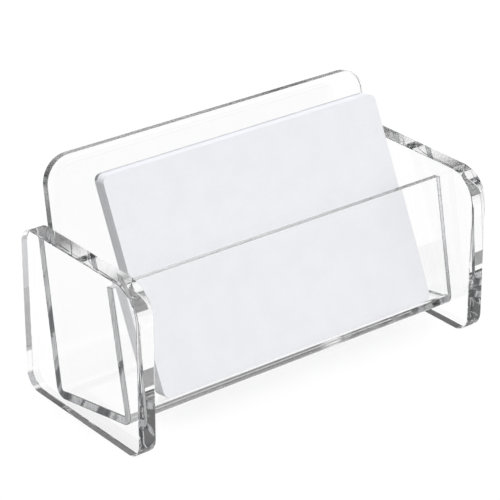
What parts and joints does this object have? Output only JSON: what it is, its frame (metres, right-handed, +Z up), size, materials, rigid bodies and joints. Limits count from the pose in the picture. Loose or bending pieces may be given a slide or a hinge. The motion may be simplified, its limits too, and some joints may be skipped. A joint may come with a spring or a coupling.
{
  "type": "business card holder stand",
  "caption": "Clear desk stand for business cards: two thick end plates with round corners carry a thin sheet bent into a tilted trough that holds a stack of blank cards.",
  "frame": {"origin": "on the table, at the bottom centre of the whole stand", "axes": "+X to the right along the cards' long edge, +Y to the back, +Z up"},
  "size_m": [0.1086, 0.0476, 0.0609],
  "materials": {
    "clear_plate": "polished clear cast acrylic",
    "clear_sheet": "polished clear acrylic sheet, heat bent",
    "card_stock": "smooth uncoated white card"
  },
  "bodies": {
    "holder": {"left_end_plate": "clear_plate", "right_end_plate": "clear_plate", "card_trough": "clear_sheet"},
    "card_01": {"card_01": "card_stock"},
    "card_02": {"card_02": "card_stock"},
    "card_03": {"card_03": "card_stock"},
    "card_04": {"card_04": "card_stock"},
    "card_05": {"card_05": "card_stock"},
    "card_06": {"card_06": "card_stock"},
    "card_07": {"card_07": "card_stock"},
    "card_08": {"card_08": "card_stock"},
    "card_09": {"card_09": "card_stock"},
    "card_10": {"card_10": "card_stock"}
  },
  "joints": [
    {"name": "card_01_lift", "type": "slide", "parent": "holder", "child": "card_01", "axis": [0, 0.4226, 0.9063], "range_m": [0, 0.06]},
    {"name": "card_02_lift", "type": "slide", "parent": "holder", "child": "card_02", "axis": [0, 0.4226, 0.9063], "range_m": [0, 0.06]},
    {"name": "card_03_lift", "type": "slide", "parent": "holder", "child": "card_03", "axis": [0, 0.4226, 0.9063], "range_m": [0, 0.06]},
    {"name": "card_04_lift", "type": "slide", "parent": "holder", "child": "card_04", "axis": [0, 0.4226, 0.9063], "range_m": [0, 0.06]},
    {"name": "card_05_lift", "type": "slide", "parent": "holder", "child": "card_05", "axis": [0, 0.4226, 0.9063], "range_m": [0, 0.06]},
    {"name": "card_06_lift", "type": "slide", "parent": "holder", "child": "card_06", "axis": [0, 0.4226, 0.9063], "range_m": [0, 0.06]},
    {"name": "card_07_lift", "type": "slide", "parent": "holder", "child": "card_07", "axis": [0, 0.4226, 0.9063], "range_m": [0, 0.06]},
    {"name": "card_08_lift", "type": "slide", "parent": "holder", "child": "card_08", "axis": [0, 0.4226, 0.9063], "range_m": [0, 0.06]},
    {"name": "card_09_lift", "type": "slide", "parent": "holder", "child": "card_09", "axis": [0, 0.4226, 0.9063], "range_m": [0, 0.06]},
    {"name": "card_10_lift", "type": "slide", "parent": "holder", "child": "card_10", "axis": [0, 0.4226, 0.9063], "range_m": [0, 0.06]}
  ]
}
